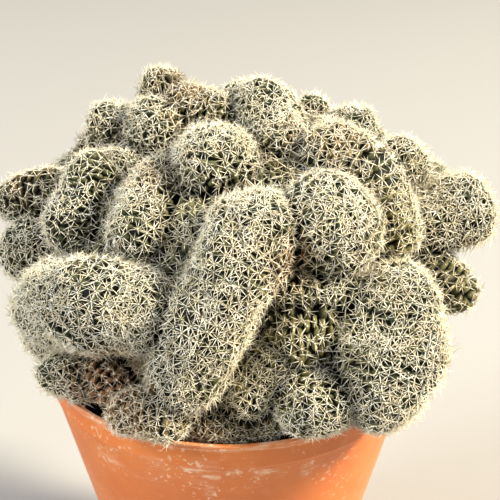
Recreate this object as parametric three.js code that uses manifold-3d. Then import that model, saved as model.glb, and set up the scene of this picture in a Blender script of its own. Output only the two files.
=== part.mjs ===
import * as THREE from 'three';
import { mergeVertices } from 'three/addons/utils/BufferGeometryUtils.js';
import Module from 'manifold-3d';

// A crested lobivia in a 12 cm nursery pot. Millimetres, +Z up.
// The origin is the middle of the pot's underside, and the best side of the plant faces -Y.

const wasm = await Module();
wasm.setup();

// Pot
const POT_HEIGHT = 99;
const POT_RIM_RADIUS = 60.4;
const POT_BASE_RADIUS = 35;
const POT_WALL = 1.2;
const POT_FLOOR = 3.4;
const POT_TAPER = 0.27;
const BAND_HEIGHT = 8.5;
const BAND_STEP = 0.4;
const LIP_HEIGHT = 2.0;
const LIP_STEP = 0.5;
const FOOT_WIDTH = 4;
const FOOT_LIFT = 2.2;
const PAD_RADIUS = 12;
const DRAIN_COUNT = 6;
const DRAIN_RADIUS = 3.5;
const DRAIN_CIRCLE = 22;
const DRAIN_SIDES = 12;
const POT_SIDES = 48;

// Soil
const SOIL_LEVEL = 92;
const SOIL_CROWN = 1;
const GAP = 0.3;
const HOLE_DEPTH = 18;
const HOLE_TOP_RADIUS = 26;
const HOLE_BOTTOM_RADIUS = 22;

// Plant
const CORE_CENTRE = new THREE.Vector3(3, 2, 120);
const CORE_HALF = new THREE.Vector3(64, 54, 53);
const CORE_HALF_BELOW = 23;
const CORE_SIDES = 12;
const CORE_RINGS = 6;
const NECK_TOP_RADIUS = 38;
const NECK_TOP = 108;
const LOBE_SIDES = 8;
const LOBE_CAP_RINGS = 2;
const LOBE_RING_STEP = 20;
const RIB_DEPTH = 0.04;

// Spines
const AREOLE_SPACING = 18;
const SPINES_PER_AREOLE = 4;
const SPINE_LENGTH = 4.4;
const SPINE_SHORTEST = 1.5;
const SPINE_LEAN = 0.85;
const STAR_RADIUS = 0.55;
const STAR_HEIGHT = 0.3;
const STAR_ROOT = 1.4;
const SKIN_SLACK = 2.2;
const AREOLE_JITTER = 0.35;
const POT_CLEARANCE = 1.2;
const SPINE_SEED = 41;
const GOLDEN_ANGLE = Math.PI * (3 - Math.sqrt(5));

// The crest's folds, each a run of round sections: x, y, z and radius in mm.
const LOBES = {
  frontLeftRoll: [[-53, -30, 132, 13], [-38, -41, 137, 13.5], [-26, -45, 137, 12]],
  centreCrest: [
    [6, -36, 158, 13.5], [-1, -46, 147, 12.5], [-7, -52, 135, 12],
    [-12, -53, 122, 11], [-14, -51, 113, 9],
  ],
  rightBall: [[52, -36.5, 132, 15], [49.2, -42.2, 123, 18.5], [46, -48, 114, 14]],
  lowRight: [[24.5, -52, 110.5, 10], [29.3, -53, 110.5, 10]],
  midRightDome: [[30, -28, 156.5, 15.5]],
  rightArch: [[34, 1, 168, 11], [45, -5, 162, 10.5], [50, -13, 149, 10]],
  farRight: [[50, 0, 142, 11], [64, 2, 143, 9.5], [76, 8, 147, 11.5]],
  upperRight: [[56, 19, 156, 11]],
  rightLowKnob: [[66, -2, 131, 7], [73, -6, 125, 7]],
  topRightKnob: [[41, 31, 167, 8.5]],
  topRightBack: [[28, 47, 166, 7]],
  topMiddle: [[4, 40, 172, 8.5], [13, 26, 174, 10.5], [18, 8, 169, 9.5]],
  centreTop: [[-8, 4, 164, 10], [-4, -8, 169, 13]],
  topmostKnob: [[-23, 37, 179, 7.5]],
  topRidge: [[-16, 31, 175, 8], [-5, 29, 173, 8]],
  upperLeftA: [[-46, 30, 162, 7], [-39, 26, 170, 8]],
  upperLeftB: [[-26, 20, 171, 9]],
  leftMiddleArch: [[-22, -10, 161, 10], [-27, -24, 153, 10]],
  leftMiddle: [[-44, 2, 160, 9], [-48, -7, 149, 10]],
  leftInner: [[-35, 9, 158, 9.5]],
  farLeftUpper: [[-50, 10, 149, 10], [-62, 13, 150, 9], [-71, 16, 147, 7.5]],
  farLeft: [[-52, 2, 136, 9], [-65, 0, 136, 10]],
  lowLeft: [[-54, -31, 108, 6.5], [-46, -34, 107, 6.5]],
  corkyFold: [[-36, -34, 109, 9]],
  lowFront: [[-29, -54, 107, 7], [-19.5, -55.5, 107.5, 7.8]],
  lowCentre: [[-8, -49, 101, 6.8], [3, -49, 101, 6.8]],
  barrelRidgeUpper: [[22.7, -43.5, 129.5, 10]],
  barrelRidgeLower: [[13, -45, 121, 9.5], [6, -47, 109, 9.5]],
  smallRidge: [[19, -40, 140, 7], [34, -39, 139, 7]],
  topHollow: [[-20, 8, 157, 10], [-8, 18, 163, 10]],
  topRightInner: [[30, 22, 161, 12]],
  backLeftRoll: [[-56, 26, 128, 12], [-45, 42, 132, 13], [-33, 50, 131, 12]],
  backCrest: [[-14, 48, 158, 12], [-10, 57, 146, 13], [-6, 61, 132, 12.5], [-1, 58, 117, 11]],
  backBall: [[34, 50, 122, 15], [31, 48, 134, 15]],
  backRightRoll: [[52, 38, 140, 12.5], [61, 24, 130, 13]],
  backLowRight: [[47, 38, 112, 10], [56, 20, 111, 10]],
  backLowMiddle: [[12, 52, 110, 10], [20, 50, 110, 9.5]],
  backLowLeft: [[-24, 49, 111, 10], [-40, 40, 110, 9]],
  backUpperLeft: [[-52, 28, 147, 11], [-36, 42, 151, 12]],
  backUpperMiddle: [[8, 49, 155, 12], [22, 46, 153, 12.5]],
  backUpperRight: [[45, 35, 154, 11]],
  leftLow: [[-58, 10, 112, 10], [-58, -10, 112, 10]],
  rightLow: [[60, 6, 113, 11], [58, -14, 112, 11]],
  rightBack: [[64, 27, 146, 11]],
  rightInner: [[55, -18, 132, 8]],
  topBack: [[-12, 41, 165, 10.5]],
};

// Solids and meshes

function toSolid(geometry) {
  const bare = geometry.clone();
  bare.deleteAttribute('normal');
  bare.deleteAttribute('uv');
  const merged = mergeVertices(bare, 1e-4);
  return new wasm.Manifold(new wasm.Mesh({
    numProp: 3,
    vertProperties: new Float32Array(merged.attributes.position.array),
    triVerts: new Uint32Array(merged.index.array),
  }));
}

function toGeometry(solid) {
  const mesh = solid.getMesh();
  const geometry = new THREE.BufferGeometry();
  geometry.setAttribute('position', new THREE.Float32BufferAttribute(mesh.vertProperties, 3));
  geometry.setIndex(Array.from(mesh.triVerts));
  geometry.computeVertexNormals();
  return geometry;
}

// Joins the solids two by two, so that each join stays small.
function joinAll(solids) {
  let row = solids;
  while (row.length > 1) {
    const next = [];
    for (let i = 0; i < row.length; i += 2) {
      next.push(i + 1 < row.length ? row[i].add(row[i + 1]) : row[i]);
    }
    row = next;
  }
  return row[0];
}

// A turned solid about +Z from points of radius and height.
function turned(points, sides) {
  const profile = points.map(([radius, height]) => new THREE.Vector2(radius, height));
  return new THREE.LatheGeometry(profile, sides).rotateX(Math.PI / 2);
}

function finish(color, roughness) {
  return new THREE.MeshStandardMaterial({ color, roughness, metalness: 0 });
}

// Pot: one moulded wall with a band and a lip at the top, a foot ring, a middle pad and drain holes.

function wallRadius(height) {
  return POT_BASE_RADIUS + POT_TAPER * height;
}

function makePot() {
  const bandFoot = POT_HEIGHT - BAND_HEIGHT;
  const lipFoot = POT_HEIGHT - LIP_HEIGHT;
  const bandRadius = wallRadius(bandFoot) + BAND_STEP;
  const bandTopRadius = POT_RIM_RADIUS - LIP_STEP;
  const rimInner = POT_RIM_RADIUS - LIP_STEP - POT_WALL;
  const profile = [
    [0, 0],
    [PAD_RADIUS, 0],
    [PAD_RADIUS + 1, FOOT_LIFT],
    [POT_BASE_RADIUS - FOOT_WIDTH - 1, FOOT_LIFT],
    [POT_BASE_RADIUS - FOOT_WIDTH, 0],
    [POT_BASE_RADIUS - 0.5, 0],
    [wallRadius(1), 1],
    [wallRadius(bandFoot), bandFoot],
    [bandRadius, bandFoot + 0.5],
    [bandTopRadius, lipFoot],
    [POT_RIM_RADIUS, lipFoot + 0.5],
    [POT_RIM_RADIUS, POT_HEIGHT - 0.5],
    [POT_RIM_RADIUS - 0.5, POT_HEIGHT],
    [rimInner + 0.4, POT_HEIGHT],
    [rimInner, POT_HEIGHT - 0.5],
    [bandRadius - POT_WALL, bandFoot + 1],
    [wallRadius(bandFoot) - POT_WALL, bandFoot - 0.5],
    [wallRadius(POT_FLOOR) - POT_WALL, POT_FLOOR + 1],
    [wallRadius(POT_FLOOR) - POT_WALL - 1, POT_FLOOR],
    [0, POT_FLOOR],
  ];
  let solid = toSolid(turned(profile, POT_SIDES));
  for (let i = 0; i < DRAIN_COUNT; i += 1) {
    const angle = (i / DRAIN_COUNT) * Math.PI * 2;
    const drain = new THREE.CylinderGeometry(DRAIN_RADIUS, DRAIN_RADIUS, 4 * POT_FLOOR, DRAIN_SIDES);
    drain.rotateX(Math.PI / 2);
    drain.translate(DRAIN_CIRCLE * Math.cos(angle), DRAIN_CIRCLE * Math.sin(angle), POT_FLOOR);
    solid = solid.subtract(toSolid(drain));
  }
  const mesh = new THREE.Mesh(toGeometry(solid), finish('#e07f45', 0.45));
  mesh.name = 'pot';
  return mesh;
}

// Soil: a plug that fills the pot, low-crowned, with a plain blind hole for the plant's base.

function makeSoil() {
  const inside = (height) => wallRadius(height) - POT_WALL - GAP;
  const foot = POT_FLOOR + GAP;
  const bandFoot = POT_HEIGHT - BAND_HEIGHT;
  const middle = (HOLE_TOP_RADIUS + inside(SOIL_LEVEL)) / 2;
  const profile = [
    [0, foot],
    [inside(foot) - 1.5, foot],
    [inside(foot + 2) - 0.2, foot + 2],
    [inside(bandFoot - 1), bandFoot - 1],
    [inside(bandFoot - 1), SOIL_LEVEL - SOIL_CROWN],
    [middle, SOIL_LEVEL],
    [HOLE_TOP_RADIUS, SOIL_LEVEL],
    [HOLE_BOTTOM_RADIUS, SOIL_LEVEL - HOLE_DEPTH],
    [0, SOIL_LEVEL - HOLE_DEPTH],
  ];
  const mesh = new THREE.Mesh(toGeometry(toSolid(turned(profile, POT_SIDES))), finish('#1d1712', 0.95));
  mesh.name = 'soil';
  return mesh;
}

// Crest: the folds, a core that they grow from, and the base that stands in the soil.

function smoothRun(points) {
  const centres = points.map(([x, y, z]) => new THREE.Vector3(x, y, z));
  const radii = points.map(([, , , radius]) => new THREE.Vector3(radius, 0, 0));
  if (centres.length === 1) {
    const outward = centres[0].clone().sub(CORE_CENTRE).normalize().multiplyScalar(0.5);
    centres.unshift(centres[0].clone().sub(outward));
    centres[1] = centres[1].clone().add(outward);
    radii.push(radii[0].clone());
  }
  return {
    path: new THREE.CatmullRomCurve3(centres, false, 'catmullrom', 0.5),
    width: new THREE.CatmullRomCurve3(radii, false, 'catmullrom', 0.5),
  };
}

// One fold: a ball's grid of vertices carried along the run, with a half-round cap at each end
// and low ribs along it, where every second row of vertices stands a little prouder.
function foldGeometry(points) {
  const { path, width } = smoothRun(points);
  const bodyRings = Math.max(1, Math.ceil(path.getLength() / LOBE_RING_STEP));
  const rings = 2 * LOBE_CAP_RINGS + bodyRings;
  const geometry = new THREE.SphereGeometry(1, LOBE_SIDES, rings);
  const frames = path.computeFrenetFrames(bodyRings, false);
  const position = geometry.attributes.position;
  for (let ring = 0; ring <= rings; ring += 1) {
    const station = THREE.MathUtils.clamp(ring - LOBE_CAP_RINGS, 0, bodyRings);
    const intoCap = ring - LOBE_CAP_RINGS - station;
    const capAngle = (intoCap / LOBE_CAP_RINGS) * (Math.PI / 2);
    const t = station / bodyRings;
    const centre = path.getPoint(t);
    const radius = width.getPoint(t).x;
    const around = ring === 0 || ring === rings ? 0 : radius * Math.cos(capAngle);
    const along = radius * Math.sin(capAngle);
    centre.addScaledVector(frames.tangents[station], along);
    for (let side = 0; side <= LOBE_SIDES; side += 1) {
      const step = side % LOBE_SIDES;
      const angle = (step / LOBE_SIDES) * Math.PI * 2;
      const reach = around * (step % 2 === 0 ? 1 + RIB_DEPTH : 1 - RIB_DEPTH);
      const vertex = centre.clone()
        .addScaledVector(frames.normals[station], -Math.cos(angle) * reach)
        .addScaledVector(frames.binormals[station], Math.sin(angle) * reach);
      position.setXYZ(ring * (LOBE_SIDES + 1) + side, vertex.x, vertex.y, vertex.z);
    }
  }
  return geometry;
}

function coreGeometry() {
  const geometry = new THREE.SphereGeometry(1, CORE_SIDES, CORE_RINGS).rotateX(Math.PI / 2);
  const position = geometry.attributes.position;
  for (let i = 0; i < position.count; i += 1) {
    const z = position.getZ(i);
    const halfHeight = z < 0 ? CORE_HALF_BELOW : CORE_HALF.z;
    position.setXYZ(i, CORE_HALF.x * position.getX(i), CORE_HALF.y * position.getY(i), halfHeight * z);
  }
  return geometry.translate(CORE_CENTRE.x, CORE_CENTRE.y, CORE_CENTRE.z);
}

function neckGeometry() {
  return turned([
    [0, SOIL_LEVEL - HOLE_DEPTH + GAP],
    [HOLE_BOTTOM_RADIUS - GAP, SOIL_LEVEL - HOLE_DEPTH + GAP],
    [HOLE_TOP_RADIUS - GAP, SOIL_LEVEL],
    [NECK_TOP_RADIUS, NECK_TOP],
    [0, NECK_TOP],
  ], POT_SIDES);
}

// Spines: a star of them at each areole, and the areoles spread evenly over the plant.

function randomSource(seed) {
  let state = seed;
  return () => {
    state = (state * 1664525 + 1013904223) % 4294967296;
    return state / 4294967296;
  };
}

// Areoles on one fold: rows round it, spaced along it, staggered from row to row.
function areolesOnFold(points, random) {
  const { path, width } = smoothRun(points);
  const length = path.getLength();
  const widest = width.getPoint(0.5).x;
  const total = length + Math.PI * widest;
  const rows = Math.round(total / AREOLE_SPACING);
  const areoles = [];
  for (let row = 0; row < rows; row += 1) {
    const distance = ((row + 0.5) / rows) * total - (Math.PI * widest) / 2;
    const t = THREE.MathUtils.clamp(distance / length, 0, 1);
    const capAngle = (distance - t * length) / widest;
    const radius = width.getPoint(t).x;
    const tangent = path.getTangent(t);
    const side = new THREE.Vector3(0.3, 0.2, 1).cross(tangent).normalize();
    const other = tangent.clone().cross(side);
    const around = 2 * Math.PI * radius * Math.cos(capAngle);
    const count = Math.max(1, Math.round(around / AREOLE_SPACING));
    for (let i = 0; i < count; i += 1) {
      const angle = ((i + 0.5 * (row % 2) + AREOLE_JITTER * (random() - 0.5)) / count) * Math.PI * 2;
      const normal = tangent.clone().multiplyScalar(Math.sin(capAngle))
        .addScaledVector(side, Math.cos(angle) * Math.cos(capAngle))
        .addScaledVector(other, Math.sin(angle) * Math.cos(capAngle))
        .normalize();
      areoles.push({ spot: path.getPoint(t).addScaledVector(normal, radius), normal });
    }
  }
  return areoles;
}

// Areoles on the core's upper half, on a spiral whose turns lie as far apart as its points.
function areolesOnCore() {
  const count = Math.round((2 * Math.PI * CORE_HALF.x * CORE_HALF.z) / AREOLE_SPACING ** 2);
  return Array.from({ length: count }, (_, i) => {
    const height = 1 - (i + 0.5) / count;
    const reach = Math.sqrt(1 - height * height);
    const turn = i * GOLDEN_ANGLE;
    const unit = new THREE.Vector3(reach * Math.cos(turn), reach * Math.sin(turn), height);
    return {
      spot: unit.clone().multiply(CORE_HALF).add(CORE_CENTRE),
      normal: unit.divide(CORE_HALF).normalize(),
    };
  });
}

// One star: a small button with its point sunk in the skin, and a three-sided spine
// that leans out from each edge of the button. Each spine has its own length.
function starGeometry(foot, normal, across, lengths) {
  const other = normal.clone().cross(across);
  const place = (turn, reach, height) => foot.clone()
    .addScaledVector(across, Math.cos(turn) * reach)
    .addScaledVector(other, Math.sin(turn) * reach)
    .addScaledVector(normal, height);
  const step = (Math.PI * 2) / SPINES_PER_AREOLE;
  const points = [place(0, 0, -STAR_ROOT), place(0, 0, STAR_HEIGHT)];
  const faces = [];
  lengths.forEach((length, i) => {
    points.push(place(i * step, STAR_RADIUS, STAR_HEIGHT / 2));
    points.push(place((i + 0.5) * step, length * Math.sin(SPINE_LEAN), length * Math.cos(SPINE_LEAN)));
    const edge = 2 + 2 * i;
    const tip = edge + 1;
    const nextEdge = 2 + 2 * ((i + 1) % SPINES_PER_AREOLE);
    faces.push(0, nextEdge, edge, edge, nextEdge, tip, nextEdge, 1, tip, 1, edge, tip);
  });
  return new THREE.BufferGeometry().setFromPoints(points).setIndex(faces);
}

function clearOfPot(point) {
  const overRim = Math.hypot(point.x, point.y) > wallRadius(SOIL_LEVEL) - POT_WALL - 2 * POT_CLEARANCE;
  return point.z > (overRim ? POT_HEIGHT : SOIL_LEVEL) + POT_CLEARANCE;
}

// Stars over the whole skin. A ray finds the skin below each areole, and none stands where another
// fold covers it. A spine that would reach a fold or the pot is cut short.
function makeStars(body) {
  const random = randomSource(SPINE_SEED);
  const skin = new THREE.Mesh(toGeometry(body), new THREE.MeshBasicMaterial());
  const ray = new THREE.Raycaster();
  const firstHit = (from, direction) => {
    ray.set(from, direction);
    return ray.intersectObject(skin)[0];
  };
  const onFolds = Object.values(LOBES).flatMap((points) => areolesOnFold(points, random));
  const stars = [];
  for (const { spot, normal } of [...onFolds, ...areolesOnCore()]) {
    const across = new THREE.Vector3(random() - 0.5, random() - 0.5, random() - 0.5)
      .cross(normal).normalize();
    const above = spot.clone().addScaledVector(normal, SPINE_LENGTH);
    const hit = firstHit(above, normal.clone().negate());
    if (hit === undefined || Math.abs(hit.distance - SPINE_LENGTH) > SKIN_SLACK) {
      continue;
    }
    const foot = hit.point.clone().addScaledVector(normal, STAR_HEIGHT / 2);
    const lengths = [];
    for (let i = 0; i < SPINES_PER_AREOLE; i += 1) {
      const turn = ((i + 0.5) / SPINES_PER_AREOLE) * Math.PI * 2;
      const lean = across.clone().applyAxisAngle(normal, turn);
      const direction = normal.clone().multiplyScalar(Math.cos(SPINE_LEAN))
        .addScaledVector(lean, Math.sin(SPINE_LEAN));
      const blocked = firstHit(foot.clone().addScaledVector(direction, STAR_RADIUS), direction);
      const room = blocked === undefined ? SPINE_LENGTH : blocked.distance;
      const tip = foot.clone().addScaledVector(direction, SPINE_LENGTH);
      lengths.push(clearOfPot(tip) ? Math.min(SPINE_LENGTH, room) : 0);
    }
    if (Math.min(...lengths) > SPINE_SHORTEST) {
      stars.push(toSolid(starGeometry(foot, normal, across, lengths)));
    }
  }
  return stars;
}

function makeCrest() {
  const folds = Object.values(LOBES).map((points) => toSolid(foldGeometry(points)));
  const body = joinAll([toSolid(coreGeometry()), toSolid(neckGeometry()), ...folds]);
  const solid = joinAll([body, ...makeStars(body)]);
  const mesh = new THREE.Mesh(toGeometry(solid), finish('#7d8163', 0.8));
  mesh.name = 'cactus_crest';
  return mesh;
}

const group = new THREE.Group();
group.add(makePot(), makeSoil(), makeCrest());

export default group;
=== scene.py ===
"""A crested lobivia in a 12 cm nursery pot, laid out as a Blender add-on and run as a script.

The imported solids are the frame. The pot, the soil and the plant are replaced here by finer pieces
that keep their form: folds of flesh covered in tubercles, felt at every areole, and spines.
Everything is in metres, +Z up, with the middle of the pot's underside at the origin.
"""

import math

import bpy
import numpy as np
from bpy.props import FloatProperty, FloatVectorProperty, IntProperty, PointerProperty
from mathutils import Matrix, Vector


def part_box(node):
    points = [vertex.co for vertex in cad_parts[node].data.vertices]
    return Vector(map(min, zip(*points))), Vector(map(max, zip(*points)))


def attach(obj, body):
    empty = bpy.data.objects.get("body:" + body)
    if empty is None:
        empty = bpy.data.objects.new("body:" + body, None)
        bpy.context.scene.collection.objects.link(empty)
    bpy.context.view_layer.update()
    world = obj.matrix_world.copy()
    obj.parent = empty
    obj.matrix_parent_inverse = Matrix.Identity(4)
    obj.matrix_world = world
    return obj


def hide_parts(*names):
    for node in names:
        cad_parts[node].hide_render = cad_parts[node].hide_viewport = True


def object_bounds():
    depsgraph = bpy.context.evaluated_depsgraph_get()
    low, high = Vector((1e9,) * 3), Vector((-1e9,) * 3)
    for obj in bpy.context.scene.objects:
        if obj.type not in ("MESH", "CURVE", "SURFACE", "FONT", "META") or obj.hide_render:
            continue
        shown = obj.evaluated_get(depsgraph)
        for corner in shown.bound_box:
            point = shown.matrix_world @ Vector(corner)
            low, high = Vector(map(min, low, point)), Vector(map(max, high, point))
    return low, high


bl_info = {
    "name": "Potted Crested Lobivia",
    "version": (1, 0, 0),
    "blender": (4, 5, 0),
    "location": "3D View > Sidebar > Lobivia",
    "description": "A crested cactus and its nursery pot, built round the packed solids",
    "category": "Add Mesh",
}

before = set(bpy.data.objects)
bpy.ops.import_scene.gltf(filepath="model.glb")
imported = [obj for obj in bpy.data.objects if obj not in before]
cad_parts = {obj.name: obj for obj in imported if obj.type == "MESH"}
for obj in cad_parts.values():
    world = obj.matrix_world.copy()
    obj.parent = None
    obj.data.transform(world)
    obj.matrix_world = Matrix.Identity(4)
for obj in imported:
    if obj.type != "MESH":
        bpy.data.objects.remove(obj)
CAD_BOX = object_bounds()
_, POT_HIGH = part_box("pot")
SOIL_LOW, SOIL_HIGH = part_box("soil")

MM = 0.001
UP = np.array([0.0, 0.0, 1.0])
GOLDEN_ANGLE = math.pi * (3 - math.sqrt(5))

# The pot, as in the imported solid
RIM_RADIUS = POT_HIGH.x
POT_HEIGHT = POT_HIGH.z
BASE_RADIUS = 35 * MM
WALL = 1.2 * MM
FLOOR_THICKNESS = 3.4 * MM
TAPER = 0.27
BAND_HEIGHT = 8.5 * MM
BAND_STEP = 0.4 * MM
LIP_HEIGHT = 2.0 * MM
LIP_STEP = 0.5 * MM
FOOT_WIDTH = 4 * MM
FOOT_LIFT = 2.2 * MM
PAD_RADIUS = 12 * MM
DRAIN_COUNT = 6
DRAIN_RADIUS = 3.5 * MM
DRAIN_CIRCLE = 22 * MM
DRAIN_SIDES = 24
POT_SIDES = 144
# Height of the slopes under the band and the lip, and the angle past which an edge is sharp
STEP_SLOPE = 0.4 * MM
SHARP_ANGLE = math.radians(35)

# The soil: its gap to the wall, how far its edge falls, and how far loose grains stay from there
SOIL_GAP = 0.3 * MM
SOIL_EDGE_FALL = 1.5 * MM
SOIL_SIDES = 168
SOIL_RINGS = 44
SOIL_SEED = 3
GRAIN_SIDES = 6
GRAIN_INSET = 1.5 * MM

# The core that the folds grow from, and the base that stands in the soil
CORE_CENTRE = np.array([3, 2, 120]) * MM
CORE_HALF = np.array([61, 51, 50]) * MM
CORE_HALF_BELOW = 23 * MM
NECK_FOOT_RADIUS = 21.7 * MM
NECK_SOIL_RADIUS = 25.7 * MM
NECK_TOP_RADIUS = 38 * MM
NECK_TOP = 108 * MM
NECK_FOOT = 74.3 * MM
NECK_SIDES = 48
CORE_SEED = 11
FOLD_SEED = 20

# How deep the skin between tubercles lies below a fold's stated radius, the height of each slow
# wave in a fold's skin, and how many times higher those waves are on the core
GROOVE_DEPTH = 0.9 * MM
SWELL = 0.45 * MM
CORE_SWELL = 2
# Size of the skin's cells
FOLD_CELL = 2.0 * MM
CORE_CELL = 2.5 * MM

# A tubercle: its top above a foot of radius one, its half length and half width as shares of the
# steps between areoles, and the share of its height at which the felt sits
HUMP_TOP = (0.36, 0, 1.02)
HUMP_SIDES = 8
HUMP_LENGTH = 0.68
HUMP_WIDTH = 0.52
FELT_SEAT = 0.9

# Areoles: the least that they stand clear of other flesh and of the pot, how far from other
# flesh the painted shade of creases reaches, and how far they stray, as a share of a step or of the core's
# ball
AREOLE_GAP = 0.3 * MM
CORE_AREOLE_GAP = 0.5 * MM
CREASE_SHADE_REACH = 6.5 * MM
AREOLE_STRAY = 0.17
CORE_STRAY = 0.008

# Spines: where along them they are widest, how far out in the felt they root, how deep a tip may
# reach into flesh, and how far they keep from the pot
WIDEST = 0.28
ROOT_OUT = 0.25 * MM
TIP_SINK = 0.5 * MM
SPINE_GAP = 0.2 * MM
NEEDLE_POINTS = 5
# Spines that stand in the middle: their rise in radians and their length against the others
STANDING_RISE = (0.65, 1.15)
STANDING_LENGTH = 0.6
# Usual deviations: of turns in radians, and of lengths and thicknesses as shares
TURN_SPREAD = 0.16
LENGTH_SPREAD = 0.25
THICKNESS_SPREAD = 0.12
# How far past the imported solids' box spines may reach, as a share of its sides
BOX_MARGIN = 0.025

# The stage
FLOOR_REACH = 4.0
KEY_PLACE, KEY_SIZE, KEY_COLOUR = (1.7, -0.2, 1.42), 0.4, (1.0, 0.91, 0.74)
FILL_PLACE, FILL_SIZE, FILL_COLOUR = (-2.15, -1.0, 1.6), 1.0, (0.90, 0.95, 1.0)
BACK_PLACE, BACK_SIZE, BACK_COLOUR = (-1.3, 0.5, 1.7), 1.2, (1.0, 0.96, 0.88)
BACK_SHARE = 0.4
WORLD_COLOUR, WORLD_STRENGTH = (0.80, 0.90, 1.0, 1), 0.15
CAMERA_PLACE = (0.0069, -0.4186, 0.3299)
CAMERA_TILT = math.radians(65.2)
SENSOR_WIDTH = 36


def coat(long_step, short_step, spines, length, thickness, felt, height, olive):
    """A kind of coat: spacing of its areoles along and across the tubercles in mm, its share of the
    spines, their length and thickness and the felt's size against the usual, its tubercles'
    height in mm, and how olive its flesh is."""
    return {
        "long_step": long_step * MM, "short_step": short_step * MM, "spines": spines, "length": length,
        "thickness": thickness, "felt": felt, "height": height * MM, "olive": olive,
    }


COATS = {
    "dense": coat(2.95, 2.5, 0.97, 0.76, 0.95, 0.95, 1.5, 0.05),
    "open": coat(3.25, 2.6, 0.9, 0.72, 1.1, 1.0, 1.7, 0.2),
    "sparse": coat(3.0, 2.4, 0.78, 0.66, 1.05, 1.0, 1.7, 0.15),
    "fine": coat(2.75, 2.2, 0.74, 0.62, 1.02, 1.0, 1.6, 0.08),
    "golden": coat(3.0, 2.2, 0.85, 0.56, 1.0, 1.15, 1.7, 0.7),
    "ribbed": coat(4.4, 2.3, 0.75, 0.6, 1.0, 1.1, 2.0, 0.8),
    "studded": coat(3.1, 2.4, 0.75, 0.58, 1.0, 1.2, 1.7, 0.5),
    "heart": coat(3.6, 2.9, 0.9, 0.7, 1.0, 1.0, 1.5, 0.2),
}


def fold(group, coat_name, lie, *points):
    """One fold's facts: its group, its coat, which way its tubercles lie, and its sections in mm
    (x, y, z, radius)."""
    return {"group": group, "coat": COATS[coat_name], "lie": lie, "points": points}


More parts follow.
